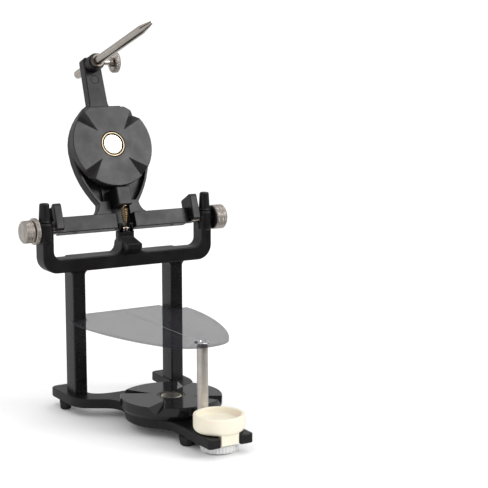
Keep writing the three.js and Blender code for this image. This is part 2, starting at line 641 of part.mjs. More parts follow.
// ---------------------------------------------------------------- incisal pin and its clamp
/** Ground rod: chamfered back end, long body and a tapered tip with a slot down one side. */
function incisalPin() {
  const rod = turned([
    [0, PIN.back], [PIN.radius - 0.6, PIN.back], [PIN.radius, PIN.back + 0.6],
    [PIN.radius, PIN.taper], [1, PIN.tip - 0.4], [0.7, PIN.tip], [0, PIN.tip],
  ], 28);
  const slot = box([-5, -0.3, PIN.taper + 2.5], [-0.4, 0.3, PIN.tip + 1]);
  return carve([rod], [slot]).rotateX(Math.PI / 2);
}

function addIncisalPin() {
  const axis = new THREE.Group();
  axis.position.z = PIN.u;
  axis.rotation.x = PIN_TILT;
  upper.add(axis);
  piece(axis, 'incisal_pin', incisalPin(), NICKEL);
  const screwHole = barX(THUMB.shank + CLEARANCE, 0, 20, 16).translate(0, -PIN_HUB.w, 0);
  const hub = barW(PIN_HUB.radius, PIN_HUB.back, PIN_HUB.front, 32);
  const hubHole = barW(PIN.radius + 0.25, -20, 20, 28);
  piece(axis, 'pin_hub', carve([hub], [hubHole, screwHole]), BLACK);
  const collar = turned([
    [PIN.radius + 0.15, PIN_HUB.front + CLEARANCE], [4.7, PIN_HUB.front + CLEARANCE],
    [4.7, PIN_HUB.front + 2], [4, PIN_HUB.front + 2.8], [PIN.radius + 0.15, PIN_HUB.front + 2.8],
  ], 28);
  piece(axis, 'pin_collar', collar.rotateX(Math.PI / 2), NICKEL);
  const shank = turned([
    [0, PIN.radius + CLEARANCE], [THUMB.shank, PIN.radius + CLEARANCE], [THUMB.shank, THUMB.face - 1.8],
    [3.1, THUMB.face - 1.8], [3.1, THUMB.face - 0.02], [0, THUMB.face - 0.02],
  ], 18).rotateY(Math.PI / 2).translate(0, -PIN_HUB.w, 0);
  piece(axis, 'thumbscrew_shank', shank, NICKEL);
  const wheel = turned([
    [0, THUMB.face], [THUMB.wheel - 0.3, THUMB.face], [THUMB.wheel, THUMB.face + 0.3],
    [THUMB.wheel, THUMB.face + THUMB.width - 0.3], [THUMB.wheel - 0.3, THUMB.face + THUMB.width],
    [0, THUMB.face + THUMB.width],
  ], 28).rotateY(Math.PI / 2).translate(0, -PIN_HUB.w, 0);
  piece(axis, 'thumbscrew_wheel', wheel, NICKEL);
}

const THUMB = { shank: 1.8, face: 12, width: 3.1, wheel: 6.8 };

// ---------------------------------------------------------------- retaining spring
/** The spring's envelope from its lower hook, just above the anchor pin, to the eye screw. */
function springEnvelope() {
  const tail = 0.75;
  const coil = 2.2;
  return turned([
    [0, 1.2], [tail, 1.2], [tail, 4.8], [coil, 6.2], [coil, 12.4], [0, 12.4],
  ], 16);
}

function addSpring() {
  const top = new THREE.Vector3(0, -EYE_SCREW.w, BLOCK.bottom);
  top.applyEuler(upper.rotation).add(upper.position);
  const spring = piece(articulator, 'retaining_spring', springEnvelope(), BRASS);
  spring.position.set(0, SPRING_PIN.y, SPRING_PIN.z);
  spring.rotation.x = -Math.atan2(top.y - SPRING_PIN.y, top.z - SPRING_PIN.z);
}

// ---------------------------------------------------------------- incisal table
/** The moulded cup: rounded foot and shallow recess, on the key that slides in the fork. */
function tableCup() {
  const { radius, bottom, rim, recess } = TABLE;
  const cup = turned([
    [0, bottom], [radius - 2.6, bottom], [radius - 0.9, bottom + 0.9], [radius - 0.1, bottom + 2.6],
    [radius, rim - 0.6], [radius - 0.6, rim], [radius - 1.6, rim], [radius - 2.2, rim - 0.8],
    [radius - 3, rim - recess], [0, rim - recess],
  ], 36);
  const key = slabZ(rounded(-KEY.half, KEY.front, KEY.half, KEY.back, 0.6), KEY.bottom, bottom + 1, 0.3);
  return { cup, key };
}

const STUD = { radius: 2.2, bottom: 1.2, top: 9 };

/** The clear ribbed nut under the fork. */
function tableNut() {
  const ribs = 24;
  const outline = new THREE.Shape();
  for (let i = 0; i < ribs * 2; i += 1) {
    const angle = (i * Math.PI) / ribs;
    const radius = i % 2 ? 10.3 : 10.75;
    outline[i ? 'lineTo' : 'moveTo'](radius * Math.cos(angle), radius * Math.sin(angle));
  }
  const knurled = slabZ(outline, 0.5, 5.4, 0.3);
  return carve([knurled], [barZ(STUD.radius + RUNNING + 0.1, 0, 8)]);
}

function addIncisalTable() {
  const group = new THREE.Group();
  group.position.y = TABLE.y;
  articulator.add(group);
  const { cup, key } = tableCup();
  const table = carve([cup, key], [barZ(STUD.radius + CLEARANCE, 0, STUD.top + CLEARANCE)]);
  piece(group, 'incisal_table', table, IVORY);
  piece(group, 'table_stud', barZ(STUD.radius, STUD.bottom, STUD.top, 20), NICKEL);
  piece(group, 'table_nut', tableNut(), CLEAR);
}

// ---------------------------------------------------------------- occlusal plane plate
/** Right half of the plate: tongue between the posts, shoulder in front of a post, long nose. */
function plateOutline() {
  const half = new THREE.Path();
  const gap = 0.5;
  const rear = POST.back + 2.2;
  half.moveTo(0, rear);
  half.lineTo(POST.inner - gap, rear);
  half.lineTo(POST.inner - gap, POST.front - gap);
  half.lineTo(40, POST.front - gap);
  half.lineTo(41, -6);
  half.bezierCurveTo(41.3, -40, 28, -80, 16.5, -94.5);
  half.quadraticCurveTo(10.5, -100.9, 0, -100.9);
  return symmetric(half, 12);
}

const PLATE_SCREW = { shank: 1.4, head: 4.8, height: 0.8 };

function addOcclusalPlate() {
  const hole = PLATE_SCREW.shank + CLEARANCE;
  const post = turned([
    [0, BASE.bottom + 0.5], [OCCLUSAL.peg, BASE.bottom + 0.5], [OCCLUSAL.peg, BASE.top],
    [OCCLUSAL.post, BASE.top], [OCCLUSAL.post, OCCLUSAL.plate - 0.4],
    [OCCLUSAL.post - 0.4, OCCLUSAL.plate], [0, OCCLUSAL.plate],
  ], 28);
  const bored = carve([post], [barZ(hole, OCCLUSAL.plate - 8, OCCLUSAL.plate + 1, 16)]);
  piece(articulator, 'occlusal_post', bored, NICKEL).position.y = OCCLUSAL.y;
  const plate = carve([slabZ(plateOutline(), OCCLUSAL.plate, OCCLUSAL.top)],
    [barZ(hole, 0, 80, 16).translate(0, OCCLUSAL.y, 0)]);
  piece(articulator, 'occlusal_plate', plate, SMOKED);
  const screw = turned([
    [0, OCCLUSAL.plate - 7], [PLATE_SCREW.shank, OCCLUSAL.plate - 7],
    [PLATE_SCREW.shank, OCCLUSAL.top], [PLATE_SCREW.head, OCCLUSAL.top],
    [PLATE_SCREW.head, OCCLUSAL.top + 0.5], [PLATE_SCREW.head * 0.7, OCCLUSAL.top + PLATE_SCREW.height],
    [0, OCCLUSAL.top + PLATE_SCREW.height],
  ], 24);
  piece(articulator, 'plate_screw', screw, CHROME).position.y = OCCLUSAL.y;
}

// ---------------------------------------------------------------- assembly
addBase();
addLowerDisc();
addYoke();
addUpperMember();
addIncisalPin();
addSpring();
addIncisalTable();
addOcclusalPlate();

// Centre the footprint of the whole open articulator on the origin.
articulator.updateMatrixWorld(true);
const bounds = new THREE.Box3().setFromObject(articulator, true);
articulator.position.x = -(bounds.min.x + bounds.max.x) / 2;
articulator.position.y = -(bounds.min.y + bounds.max.y) / 2;

export default articulator;
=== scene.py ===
"""Looks of the dental articulator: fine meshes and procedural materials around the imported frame."""
import json
from math import atan2, cos, pi, radians, sin

import bmesh
import bpy
from mathutils import Matrix, Vector


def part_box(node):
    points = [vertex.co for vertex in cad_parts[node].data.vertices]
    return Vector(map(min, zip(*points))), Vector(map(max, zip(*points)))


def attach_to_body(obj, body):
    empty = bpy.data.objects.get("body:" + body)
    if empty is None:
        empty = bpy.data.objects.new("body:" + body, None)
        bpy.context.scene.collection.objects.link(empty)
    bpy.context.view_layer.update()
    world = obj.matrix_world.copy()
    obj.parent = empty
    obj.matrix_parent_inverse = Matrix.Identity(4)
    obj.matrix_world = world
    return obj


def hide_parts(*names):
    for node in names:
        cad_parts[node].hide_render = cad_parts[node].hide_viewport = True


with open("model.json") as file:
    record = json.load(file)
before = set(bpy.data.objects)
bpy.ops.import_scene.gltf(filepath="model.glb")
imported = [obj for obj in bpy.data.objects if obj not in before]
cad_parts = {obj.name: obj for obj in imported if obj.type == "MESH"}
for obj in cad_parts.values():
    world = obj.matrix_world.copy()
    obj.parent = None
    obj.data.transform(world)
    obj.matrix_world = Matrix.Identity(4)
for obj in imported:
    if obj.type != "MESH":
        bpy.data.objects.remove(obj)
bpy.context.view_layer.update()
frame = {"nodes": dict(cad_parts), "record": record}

# ------------------------------------------------------------------ facts from the record
MM = 0.001
RECORD = frame["record"]
SLOT_OF = {part["node"]: part["material_slot"] for part in RECORD["subparts"]}
BODY_OF = {node: body for body, nodes in RECORD["behaviour"]["bodies"].items() for node in nodes}
JOINTS = {joint["name"]: joint for joint in RECORD["behaviour"]["joints"]}
MOUNTS = {mount["name"]: mount for mount in RECORD["mounts"]}

HINGE = Vector(JOINTS["upper_member_close"]["pos_m"])
FACE_AXIS = Vector(MOUNTS["upper_plate_seat"]["axis"])
PIN_AXIS = Vector(JOINTS["incisal_pin_slide"]["axis"])
SPRING_FOOT = Vector(JOINTS["spring_swing"]["pos_m"])
X_AXIS = Vector((1, 0, 0))
Z_AXIS = Vector((0, 0, 1))

# ------------------------------------------------------------------ camera, fitted to the view
CAMERA_FROM_HINGE_FOOT = Vector((-0.3633, -0.7289, 0.2307))
CAMERA_TURN = radians(-31.59)
CAMERA_PITCH = radians(8.99)
LENS_MM = 97.505
SENSOR_MM = 36.0

# ------------------------------------------------------------------ studio, in metres
FLOOR_SIZE = 40
ROOM_LIGHT = 1.1
ROOM_IN_REFLECTIONS = 0.5
SUN_STRENGTH = 0.35
SUN_SPREAD = radians(35)
SUN_FROM = Vector((0.5, 0.1, 1.0))
SOFTBOX_PLACE = (0.62, -0.87, 0.68)
SOFTBOX_TARGET = Vector((0, 0.04, 0.16))
SOFTBOX_SIZE = (0.5, 0.46)
SOFTBOX_RADIANCE = 6.8
FLAG_LEFT = (-0.3, -0.33)        # the dark flag stands across the front of the object
FLAG_RIGHT = (0.62, -0.25)
FLAG_HEIGHT = 0.17
FLAG_SHADE = 0.01
APRON_RIGHT = (0.45, -0.10)      # and a dark apron lies on the floor behind it
APRON_LEFT = (-0.1, -0.16)
APRON_SHADE = 0.02
GROUND_REACH = 3                 # the grey ground card reaches this far each way
GROUND_SHADE = 0.42
CARD_LIFT = 0.3 * MM             # height of the ground card above the floor
CARD_MOTTLE = 1.1                # how much lighter a card's pale patches are
CARD_ROUGHNESS = 1.0
FLOOR_ROUGHNESS = 0.8
CARD_PATCHES = (0.0, 1.0)        # the range of a noise over which one tone turns into the other
FLOOR_PATCHES = (0.3, 0.7)

# ------------------------------------------------------------------ colours, linear
NICKEL = (0.68, 0.62, 0.565)
BRASS = (0.66, 0.47, 0.25)
CHROME = (0.80, 0.80, 0.82)
PALE_STEEL = (0.95, 0.90, 0.85)
DARK_STEEL = (0.16, 0.14, 0.12)
RING_BRASS = (0.27, 0.22, 0.15)
MAGNET_PLATE = (0.88, 0.83, 0.72)
# colour of the enamel's paler edges: worn coating, and a painted highlight along them
WORN_EDGE_AND_HIGHLIGHT = (0.16, 0.155, 0.15)
FOOT_RUBBER = ((0.012, 0.012, 0.012), (0.03, 0.029, 0.028))
SMOKE = ((0.022, 0.020, 0.026), (0.03, 0.028, 0.034))
CLEAR = ((0.97, 0.97, 0.97), (0.92, 0.92, 0.92))
LINE_WHITE = ((0.42, 0.42, 0.44), (0.3, 0.3, 0.32))
FLOOR_PAPER = ((0.95, 0.95, 0.955), (0.93, 0.93, 0.935))

# ------------------------------------------------------------------ surface of the materials
COATING_EDGE = 0.35 * MM         # the coating's edges turn within this distance, and are painted paler there, partly as worn coating and partly as a painted highlight
COATING_EDGE_SAMPLES = 4
POLISHED_BY = 0.05               # a surface's roughness wavers between these about its value
DULLED_BY = 0.08
TARNISH = 0.06                   # roughness that stains add to metal
SHEET_ALPHA = 0.53               # counts once at each face of the sheet
SHEET_IOR = 1.25
NUT_IOR = 1.47
NUT_TRANSMISSION = 0.3

# ------------------------------------------------------------------ refined copies of CAD nodes
MERGE_DISTANCE = 0.002 * MM
FLAT_ANGLE = radians(0.05)
SHARP_ANGLE = 32                 # degrees
DISC_SHARP_ANGLE = 18
PLATE_SHARP_ANGLE = 40
NUT_SHARP_ANGLE = 60
NO_BEVEL = 0
CAST_EDGE = 0.14 * MM
FOOT_EDGE = 0.4 * MM
LOCK_PIN_EDGE = 0.25 * MM
SHANK_EDGE = 0.2 * MM
SUPPORT_EDGE = 0.15 * MM
FINE_EDGE = 0.1 * MM
EYE_EDGE = 0.08 * MM
PLATE_EDGE = 0.2 * MM
PLATE_EDGE_STEPS = 3
KEY_EDGE = 0.5 * MM
KEY_EDGE_STEPS = 4
CASTINGS = ("base_casting", "yoke_casting", "left_condyle_cheek", "right_condyle_cheek",
            "spring_block", "left_post", "right_post", "right_flange", "arm_plug")
LOCK_PINS = ("left_lock_pin", "right_lock_pin", "pin_hub")
SIDE_SCREWS = (("cheek", "_cheek_screw", X_AXIS), ("grub", "_bar_grub_screw", Z_AXIS),
               ("post", "_post_screw", Z_AXIS))

# ------------------------------------------------------------------ knobs, ring and thumbscrew
SHAFT_BORE = 2.6 * MM
FACETS_PER_TOOTH = 8
EASE = 0.1 * MM
KNOB_TEETH = (("right_condyle_knob", 1, 44), ("left_condyle_knob", -1, 40))
KNOB_PITCH = 1.1 * MM
KNOB_CUT = 0.34 * MM
KNOB_ROWS = 30
KNOB_SEAT = 3 * MM               # how far the shaft reaches into a knob
KNOB_LIP = 0.5 * MM
KNOB_CHAMFER = 1.1 * MM
KNOB_NECK = 0.12 * MM            # step between the knurl and the chamfer
KNOB_RIM = 0.9 * MM              # flat rim round the dish
KNOB_DISH = 0.15 * MM
RING_TEETH = 46
RING_PITCH = 1.0 * MM
RING_CUT = 0.3 * MM
RING_ROWS = 12
RING_RADIUS = 8.1 * MM
RING_EDGE = 0.4 * MM
RING_LIP = 0.45 * MM
WHEEL_TEETH = 44
WHEEL_PITCH = 0.9 * MM
WHEEL_CUT = 0.28 * MM
WHEEL_ROWS = 14
WHEEL_RIM = 0.35 * MM            # chamfer of its rim and depth of its dishes
WHEEL_INNER_DISH = (0.62, 0.70)  # parts of the radius: the dish's floor and its lip
WHEEL_OUTER_DISH = (0.38, 0.45)

# ------------------------------------------------------------------ retaining spring
WIRE = 0.3 * MM                  # radius of the wire
WIRE_SIDES = 10
HOOK = 0.8 * MM + 2 * WIRE       # radius of the hook round the anchor pin
HOOK_START = -60                 # degrees
HOOK_SWEEP = 300
HOOK_STEPS = 24
COIL = 1.85 * MM                 # radius of the coil
COIL_START = 4.2 * MM            # heights above the anchor pin
COIL_END = 12.5 * MM
COIL_TURNS = 7.5
COIL_STEPS = 20                  # points in a turn
COIL_NARROW = 0.6                # its first turn is this much of the radius
COIL_TAPER = 0.55                # and it widens over this much of its length
SPRING_TAIL = (
    Vector((0, 0.3 * MM, 2.2 * MM)),
    Vector((0, 0.1 * MM, 3.0 * MM)),
    Vector((0.4 * COIL, 0, COIL_START - 0.6 * MM)),
)
SPRING_TOP = (
    Vector((-0.5 * COIL, 0, COIL_END + 0.35 * MM)),
    Vector((0, 0, COIL_END + 0.8 * MM)),
    Vector((0, 0, COIL_END + 1.25 * MM)),
)

# ------------------------------------------------------------------ incisal table and its nut
CUP_SIDES = 128
CUP_BOTTOM = 11.7 * MM           # height of the cup's underside
CUP_BELLY = 3 * MM
CUP_WALL = 2.2 * MM
CUP_RECESS = 3.6 * MM
CUP_FILLET = 1.2 * MM
CUP_DRAFT = 0.1 * MM
BELLY_STEPS = 10                 # points of each rounding
LIP_STEPS = 5
FILLET_STEPS = 6
LIP_OUTER = 0.7 * MM             # radii of the rim's outer and inner edges
LIP_INNER = 0.6 * MM
LIP_WIDTH = 1.6 * MM             # from the outside to the inner edge's centre
KEY_HALF = 5.75 * MM
KEY_FRONT = 12.5 * MM
KEY_BACK = 5.2 * MM
NUT_RIBS = 34
NUT_FACETS_PER_RIB = 10
NUT_CUT = 0.45 * MM
NUT_ROWS = 8
NUT_BORE = 2.4 * MM
NUT_EDGE = 0.7 * MM
NUT_LAND = 0.6 * MM
NUT_STEP = 0.3 * MM

# ------------------------------------------------------------------ occlusal plate
# points of its right half: from the middle, and in front of the hinge or from the nose
PLATE_GAP = 0.5 * MM             # beside the post
PLATE_CORNER = 0.8 * MM
PLATE_SHOULDER = 40 * MM
PLATE_SHOULDER_END = 40.6 * MM
PLATE_TURN = (41 * MM, 6 * MM)
PLATE_SIDE = ((41.3 * MM, 40 * MM), (28 * MM, 80 * MM))
PLATE_SIDE_STEPS = 60
PLATE_TIP = (16.5 * MM, 94.5 * MM)
PLATE_NOSE = ((12.5 * MM, 1.6 * MM), (7 * MM, 0))
PLATE_NOSE_STEPS = 24
LINE_HALF = 0.09 * MM            # the guide line's half width
LINE_FRONT = 6 * MM              # behind the screw
LINE_BACK = 3 * MM               # in front of the rear edge
LINE_DEPTH = 0.1 * MM
LINE_PROUD = 0.012 * MM
SCREW_SIDES = 72
SCREW_SHANK = 1.4 * MM
SCREW_LIP = 0.15 * MM
SCREW_SOCKET = 0.1 * MM
HEAD_SHOULDER = 0.9              # parts of the head's radius
HEAD_CROWN = 0.7
SOCKET_LIP = 0.5
SOCKET_TOP = 0.42
SOCKET_FLOOR = 0.36


def box_of(node):
    """The low and high corners of a CAD node's box."""
    low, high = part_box(node)
    return Vector(low), Vector(high)


def middle(node):
    """The centre of a CAD node's box."""
    low, high = box_of(node)
    return (low + high) / 2


# ------------------------------------------------------------------ node graph helpers
class Graph:
    """A material's node tree with short calls for the nodes used here."""

    def __init__(self, name):
        self.material = bpy.data.materials.new(name)
        self.material.use_nodes = True
        self.tree = self.material.node_tree
        self.shader = self.tree.nodes["Principled BSDF"]

    def add(self, kind, **settings):
        node = self.tree.nodes.new(kind)
        for key, value in settings.items():
            setattr(node, key, value)
        return node

    def link(self, source, target):
        self.tree.links.new(source, target)

    def place(self):
        """Where the surface point is, in metres."""
        return self.add("ShaderNodeTexCoord").outputs["Object"]

    def noise(self, scale, detail, roughness=0.55, vector=None):
        node = self.add("ShaderNodeTexNoise")
        node.inputs["Scale"].default_value = scale
        node.inputs["Detail"].default_value = detail
        node.inputs["Roughness"].default_value = roughness
        self.link(vector or self.place(), node.inputs["Vector"])
        return node.outputs["Fac"]

    def mapped(self, value, low, high, start=0.3, end=0.7):
        """Maps start..end of a value to low..high."""
        node = self.add("ShaderNodeMapRange")
        node.inputs["From Min"].default_value = start
        node.inputs["From Max"].default_value = end
        node.inputs["To Min"].default_value = low
        node.inputs["To Max"].default_value = high
        self.link(value, node.inputs["Value"])
        return node.outputs["Result"]

    def handled(self, noise, rough):
        """Roughness that wavers about a value."""
        return self.mapped(noise, rough - POLISHED_BY, rough + DULLED_BY)

    def blend(self, factor, first, second):
        """A mix of two colours, each a tuple or an output."""
        node = self.add("ShaderNodeMix", data_type="RGBA")
        for socket, colour in (("A", first), ("B", second)):
            target = [s for s in node.inputs if s.name == socket and s.type == "RGBA"][0]
            if isinstance(colour, tuple):
                target.default_value = (*colour, 1.0)
            else:
                self.link(colour, target)
        self.link(factor, node.inputs["Factor"])
        return [s for s in node.outputs if s.type == "RGBA"][0]

    def bump(self, height, distance, strength, under=None):
        """A normal bent by a height, over another normal where one is given."""
        node = self.add("ShaderNodeBump")
        node.inputs["Distance"].default_value = distance
        node.inputs["Strength"].default_value = strength
        self.link(height, node.inputs["Height"])
        if under:
            self.link(under, node.inputs["Normal"])
        return node.outputs["Normal"]

    def math(self, operation, *values):
        node = self.add("ShaderNodeMath", operation=operation)
        for socket, value in zip(node.inputs, values):
            if isinstance(value, (int, float)):
                socket.default_value = value
            else:
                self.link(value, socket)
        return node.outputs[0]

    def vector(self, operation, first, second=None, scale=None):
        node = self.add("ShaderNodeVectorMath", operation=operation)
        for socket, value in ((node.inputs[0], first), (node.inputs[1], second)):
            if isinstance(value, Vector):
                socket.default_value = value
            elif value is not None:
                self.link(value, socket)
        if scale is not None:
            self.link(scale, node.inputs["Scale"])
        return node.outputs["Value" if operation in ("DOT_PRODUCT", "LENGTH") else "Vector"]

    def turned(self, axis, centre):
        """A vector of (distance along the axis, distance from it), for lathe marks."""
        arm = self.vector("SUBTRACT", self.place(), centre)
        along = self.vector("DOT_PRODUCT", arm, axis)
        axial = self.vector("SCALE", axis, scale=along)
        radius = self.vector("LENGTH", self.vector("SUBTRACT", arm, axial))
        joined = self.add("ShaderNodeCombineXYZ")
        self.link(along, joined.inputs["X"])
        self.link(radius, joined.inputs["Y"])
        return joined.outputs["Vector"]

    def rounded(self, radius):
        """A normal that turns smoothly over edges within the radius."""
        node = self.add("ShaderNodeBevel", samples=COATING_EDGE_SAMPLES)
        node.inputs["Radius"].default_value = radius
        return node.outputs["Normal"]

    def edges(self, rounded):
        """About 1 on flat ground and less where the rounded normal turns."""
        plain = self.add("ShaderNodeNewGeometry").outputs["Normal"]
        return self.vector("DOT_PRODUCT", rounded, plain)

    def set(self, **values):
        """Sets or links the shader's sockets; an underscore stands for a space."""
        for name, value in values.items():
            socket = self.shader.inputs[name.replace("_", " ")]
            if isinstance(value, (int, float)):
                socket.default_value = value
            elif isinstance(value, tuple):
                socket.default_value = (*value, 1.0)
            else:
                self.link(value, socket)


# ------------------------------------------------------------------ materials
def enamel(name, dark, light, rough, grain=0.004, edge_wear_and_highlight=0.45, gloss=0.5):
    """Baked black coating: faint cloudiness, a fine orange peel, and paler edges, partly worn and partly a
    painted highlight.
    """
    g = Graph(name)
    cloud = g.mapped(g.noise(scale=45, detail=4), low=0, high=1)
    body = g.blend(cloud, dark, light)
    round_edge = g.rounded(COATING_EDGE)
    # paler edges: partly worn coating, partly a painted highlight along each edge
    worn_and_highlit_edges = g.mapped(g.edges(round_edge), low=edge_wear_and_highlight, high=0.0, start=0.80, end=0.985)
    patches = g.mapped(g.noise(scale=420, detail=3), low=0.2, high=1.0, start=0.35, end=0.6)
    colour = g.blend(g.math("MULTIPLY", worn_and_highlit_edges, patches), body, WORN_EDGE_AND_HIGHLIGHT)
    coarse = g.math("MULTIPLY", g.noise(scale=700, detail=2), 0.7)
    peel = g.math("ADD", g.noise(scale=2600, detail=2), coarse)
    g.set(
        Base_Color=colour,
        Roughness=g.handled(g.noise(scale=90, detail=5, roughness=0.65), rough),
        Specular_IOR_Level=gloss,
        Normal=g.bump(peel, distance=grain * MM, strength=0.6, under=round_edge),
    )
    return g.material


def bare_metal(name, colour, rough, axis, centre, tint=0.85, depth=0.004, spread=0.06):
    """Plated metal turned on a lathe: fine rings round its axis and a little tarnish."""
    g = Graph(name)
    dark = tuple(channel * tint for channel in colour)
    stain = g.mapped(g.noise(scale=160, detail=4, roughness=0.6), low=0, high=1)
    marks = g.noise(scale=2400, detail=2, roughness=0.6, vector=g.turned(axis, centre))
    tarnish = g.mapped(stain, low=rough, high=rough + TARNISH, start=0, end=1)
    g.set(
        Base_Color=g.blend(stain, colour, dark),
        Metallic=1.0,
        Roughness=g.math("ADD", g.mapped(marks, low=-spread, high=spread), tarnish),
        Normal=g.bump(marks, distance=depth * MM, strength=0.5),
    )
    return g.material


def moulded(name, colour, shade, rough, **extra):
    """Moulded plastic: soft cloudiness and a faint pebbled surface."""
    g = Graph(name)
    cloud = g.mapped(g.noise(scale=60, detail=4), low=0, high=1)
    g.set(
        Base_Color=g.blend(cloud, colour, shade),
        Roughness=g.handled(g.noise(scale=240, detail=3), rough),
        Normal=g.bump(g.noise(scale=1500, detail=3), distance=0.006 * MM, strength=0.5),
        **extra,
    )
    return g.material


def rubber(name):
    """Black rubber with a little dust."""
    g = Graph(name)
    dust = g.mapped(g.noise(scale=300, detail=5, roughness=0.7), low=0, high=1, start=0.45, end=0.75)
    g.set(
        Base_Color=g.blend(dust, *FOOT_RUBBER),
        Roughness=g.mapped(g.noise(scale=700, detail=3), low=0.55, high=0.8),
        Normal=g.bump(g.noise(scale=1800, detail=3), distance=0.02 * MM, strength=0.7),
    )
    return g.material


def smoked(name):
    """Smoked clear sheet: even tint, polished faces with hairline scratches."""
    g = Graph(name)
    stretched = g.add("ShaderNodeMapping")
    stretched.inputs["Scale"].default_value = (1.0, 9.0, 1.0)
    stretched.inputs["Rotation"].default_value = (0.0, 0.0, radians(24))
    g.link(g.place(), stretched.inputs["Vector"])
    lines = g.noise(scale=260, detail=6, roughness=0.7, vector=stretched.outputs["Vector"])
    scratch = g.mapped(lines, low=0.0, high=1.0, start=0.6, end=0.75)
    haze = g.mapped(g.noise(scale=35, detail=4), low=0, high=1)
    g.set(
        Base_Color=g.blend(haze, *SMOKE),
        Roughness=g.mapped(scratch, low=0.06, high=0.22, start=0, end=1),
        Alpha=SHEET_ALPHA,
        IOR=SHEET_IOR,
        Normal=g.bump(scratch, distance=0.002 * MM, strength=0.3),
    )
    return g.material


def clear_plastic(name):
    """Pale plastic that lets some light through."""
    g = Graph(name)
    streak = g.mapped(g.noise(scale=120, detail=4), low=0, high=1)
    g.set(
        Base_Color=g.blend(streak, *CLEAR),
        Roughness=g.mapped(g.noise(scale=500, detail=3), low=0.25, high=0.35),
        Transmission_Weight=NUT_TRANSMISSION,
        IOR=NUT_IOR,
        Normal=g.bump(g.noise(scale=900, detail=3), distance=0.004 * MM, strength=0.3),
    )
    return g.material


def paper(name, first, second, roughness, start, end):
    """Matt paper of two tones, for the floor and the cards."""
    g = Graph(name)
    patches = g.mapped(g.noise(scale=3, detail=2), low=0, high=1, start=start, end=end)
    g.set(Base_Color=g.blend(patches, first, second), Roughness=roughness)
    return g.material


def nickel(name, axis, centre, rough=0.24):
    return bare_metal(name, NICKEL, rough, axis, centre)


PAINT = {
    "black_metal": enamel(
        "black_enamel", (0.0050, 0.0040, 0.0050), (0.0080, 0.0068, 0.0080),
        rough=0.36, edge_wear_and_highlight=0.7, gloss=0.42,
    ),
    "post_black": enamel(
        "post_enamel", (0.005, 0.0043, 0.005), (0.008, 0.007, 0.008),
        rough=0.26, grain=0.001, edge_wear_and_highlight=0.0, gloss=0.55,
    ),
    "disc_black": enamel(
        "disc_enamel", (0.009, 0.0085, 0.0095), (0.012, 0.0118, 0.0125),
        rough=0.07, grain=0.001, edge_wear_and_highlight=0.4,
    ),
    "rubber": rubber("foot_rubber"),
    "ivory_plastic": moulded(
        "ivory", (0.81, 0.76, 0.63), (0.77, 0.715, 0.58),
        rough=0.42, Subsurface_Weight=0.15, Subsurface_Scale=0.004,
    ),
    "smoked_plate": smoked("smoked_sheet"),
    "clear_plastic": clear_plastic("clear_nut"),
}
# a paler copy of the disc's black enamel for the upper disc: its lighter colour is painted light, since
# that disc's face turns up to the light
UPPER_DISC_PAINTED_LIGHT_ENAMEL = enamel(
    "upper_disc_enamel_painted_light", (0.017, 0.0155, 0.016), (0.022, 0.02, 0.0205),
    rough=0.37, grain=0.003, edge_wear_and_highlight=0.4,
)


# ------------------------------------------------------------------ pieces
def attach(piece, node, paint):
    """Gives a piece its material, and the body of a CAD node."""
    piece.data.materials.clear()
    piece.data.materials.append(paint)
    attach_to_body(piece, BODY_OF[node])


def adopt(piece, node, paint=None):
    """Puts a finished piece in its CAD node's place."""
    attach(piece, node, paint or PAINT[SLOT_OF[node]])
    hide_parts(node)


def link_piece(name, mesh):
    piece = bpy.data.objects.new(name, mesh)
    bpy.context.scene.collection.objects.link(piece)
    return piece


def built(name, work):
    """A new object from a bmesh, which is freed."""
    mesh = bpy.data.meshes.new(name)
    work.to_mesh(mesh)
    work.free()
    return link_piece(name, mesh)


def mark_sharp(work, angle):
    """Makes every face smooth, with sharp edges where faces meet at more than an angle."""
    for face in work.faces:
        face.smooth = True
    for edge in work.edges:
        edge.smooth = edge.calc_face_angle(0) < radians(angle)


def soften(piece, width, segments=2, angle=SHARP_ANGLE):
    """Rounds a piece's sharp edges so that they catch the light."""
    bevel = piece.modifiers.new("soft_edges", "BEVEL")
    bevel.width = width
    bevel.segments = segments
    bevel.limit_method = "ANGLE"
    bevel.angle_limit = radians(angle)
    bevel.use_clamp_overlap = False
    bevel.harden_normals = True


def refined(node, width=CAST_EDGE, paint=None, angle=SHARP_ANGLE):
    """A smooth copy of a CAD node, its edges rounded by a width, or left sharp with NO_BEVEL."""
    mesh = frame["nodes"][node].data.copy()
    mesh.name = "fine_" + node
    work = bmesh.new()
    work.from_mesh(mesh)
    bmesh.ops.remove_doubles(work, verts=work.verts, dist=MERGE_DISTANCE)
    if width == NO_BEVEL:
        mark_sharp(work, angle)
    else:
        bmesh.ops.dissolve_limit(work, angle_limit=FLAT_ANGLE, verts=work.verts, edges=work.edges)
        for face in work.faces:
            face.smooth = True
    work.to_mesh(mesh)
    work.free()
    custom = mesh.attributes.get("custom_normal")
    if custom:
        mesh.attributes.remove(custom)
    piece = link_piece("fine_" + node, mesh)
    if width != NO_BEVEL:
        soften(piece, width, angle=angle)
    adopt(piece, node, paint)


def facing(axis, centre):
    """The matrix that turns local Z to an axis through a point."""
    return Matrix.Translation(centre) @ Vector(axis).to_track_quat("Z", "Y").to_matrix().to_4x4()


